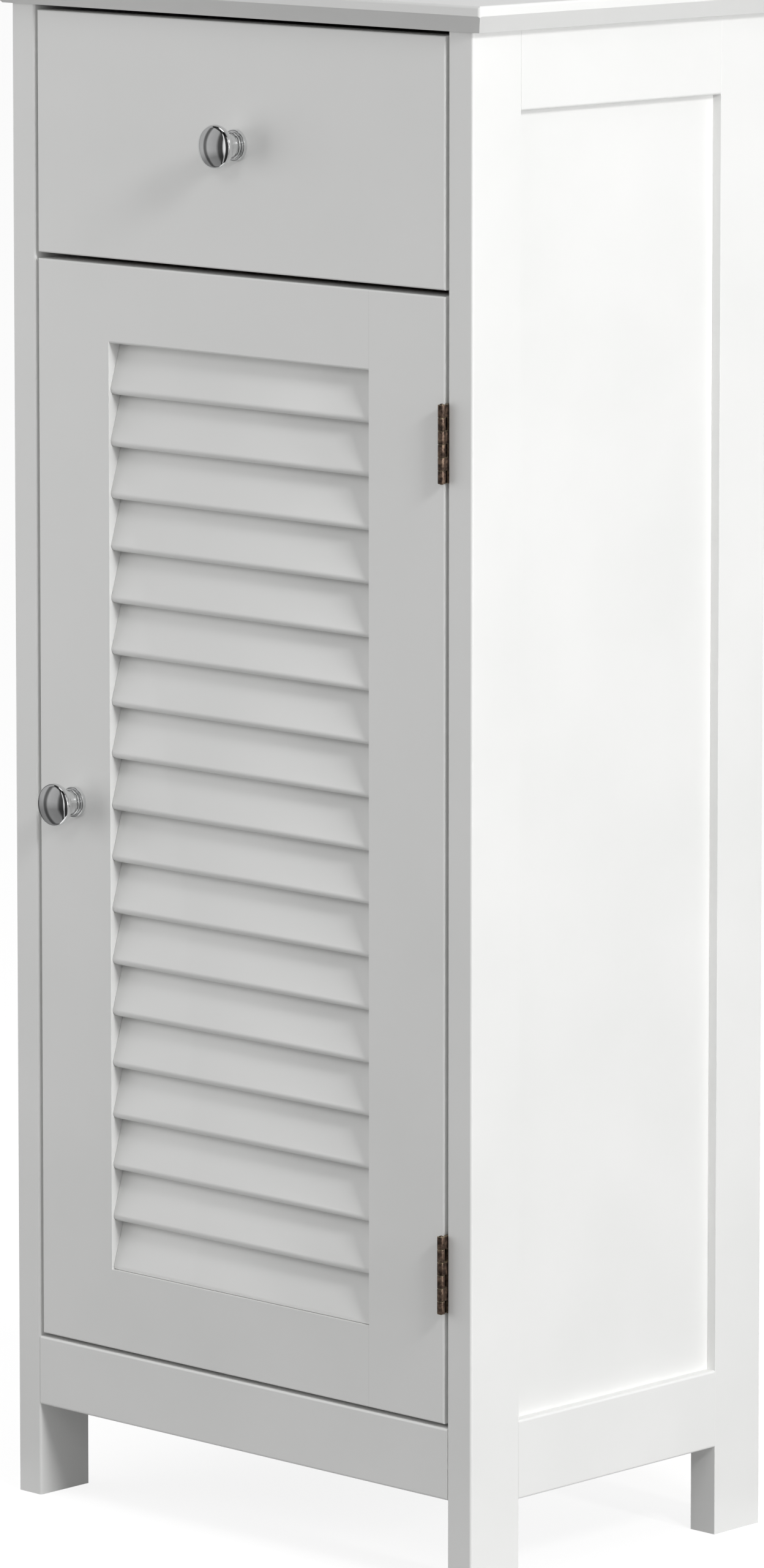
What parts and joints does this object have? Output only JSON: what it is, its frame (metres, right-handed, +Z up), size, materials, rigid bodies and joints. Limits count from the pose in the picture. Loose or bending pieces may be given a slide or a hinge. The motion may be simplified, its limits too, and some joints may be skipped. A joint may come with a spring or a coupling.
{
  "type": "louvred door cabinet",
  "caption": "Narrow white floor cabinet with a sliding drawer over a hinged louvred door, recessed side panels, short legs, round knobs and an overhanging top.",
  "frame": {"origin": "on the floor, in the middle of the width and of the depth measured over the knobs", "axes": "+X to the right seen from the front, +Y to the back, +Z up; the drawer and the door face -Y"},
  "size_m": [0.384, 0.26, 0.87],
  "materials": {
    "white_paint": "satin white paint on fibreboard",
    "inner_board": "matt white paper-faced board",
    "hardboard_white": "thin hardboard, white on the face",
    "runner_wood": "planed hardwood batten, waxed",
    "dowel_wood": "fluted beech",
    "chrome": "polished chrome plate",
    "antique_brass": "dark antiqued brass, rubbed on the edges",
    "zinc_screw": "zinc plated",
    "strike_steel": "nickel plated sheet steel",
    "white_plastic": "moulded white nylon"
  },
  "bodies": {
    "cabinet": {"top_board": "white_paint", "left_front_post": "white_paint", "right_front_post": "white_paint", "left_rear_post": "white_paint", "right_rear_post": "white_paint", "left_top_rail": "white_paint", "right_top_rail": "white_paint", "left_bottom_rail": "white_paint", "right_bottom_rail": "white_paint", "left_side_panel": "white_paint", "right_side_panel": "white_paint", "front_apron": "white_paint", "bottom_board": "inner_board", "divider_board": "inner_board", "adjustable_shelf": "inner_board", "back_panel": "hardboard_white", "drawer_runners": "runner_wood", "carcass_dowels": "dowel_wood", "runner_screws": "zinc_screw", "catch_screws": "zinc_screw", "shelf_pins": "white_plastic", "magnetic_catch": "white_plastic", "hinge_post_leaves": "antique_brass", "hinge_pins": "antique_brass", "hinge_post_screws": "antique_brass"},
    "drawer": {"drawer_front": "white_paint", "drawer_left_side": "inner_board", "drawer_right_side": "inner_board", "drawer_back": "inner_board", "drawer_bottom": "hardboard_white", "drawer_dowels": "dowel_wood", "drawer_knob": "chrome", "drawer_knob_screw": "zinc_screw"},
    "door": {"door_latch_stile": "white_paint", "door_hinge_stile": "white_paint", "door_top_rail": "white_paint", "door_bottom_rail": "white_paint", "hinge_door_leaves": "antique_brass", "hinge_door_screws": "antique_brass", "door_knob": "chrome", "door_knob_screw": "zinc_screw", "strike_plate": "strike_steel", "louvre_01": "white_paint", "louvre_02": "white_paint", "louvre_03": "white_paint", "louvre_04": "white_paint", "louvre_05": "white_paint", "louvre_06": "white_paint", "louvre_07": "white_paint", "louvre_08": "white_paint", "louvre_09": "white_paint", "louvre_10": "white_paint", "louvre_11": "white_paint", "louvre_12": "white_paint", "louvre_13": "white_paint", "louvre_14": "white_paint", "louvre_15": "white_paint", "louvre_16": "white_paint", "louvre_17": "white_paint", "louvre_18": "white_paint"}
  },
  "joints": [
    {"name": "drawer_slide", "type": "slide", "parent": "cabinet", "child": "drawer", "axis": [0, -1, 0], "range_m": [0, 0.15]},
    {"name": "door_hinge", "type": "hinge", "parent": "cabinet", "child": "door", "pos_m": [0.15875, -0.1116, 0.4], "axis": [0, 0, 1], "range_deg": [0, 175]}
  ]
}
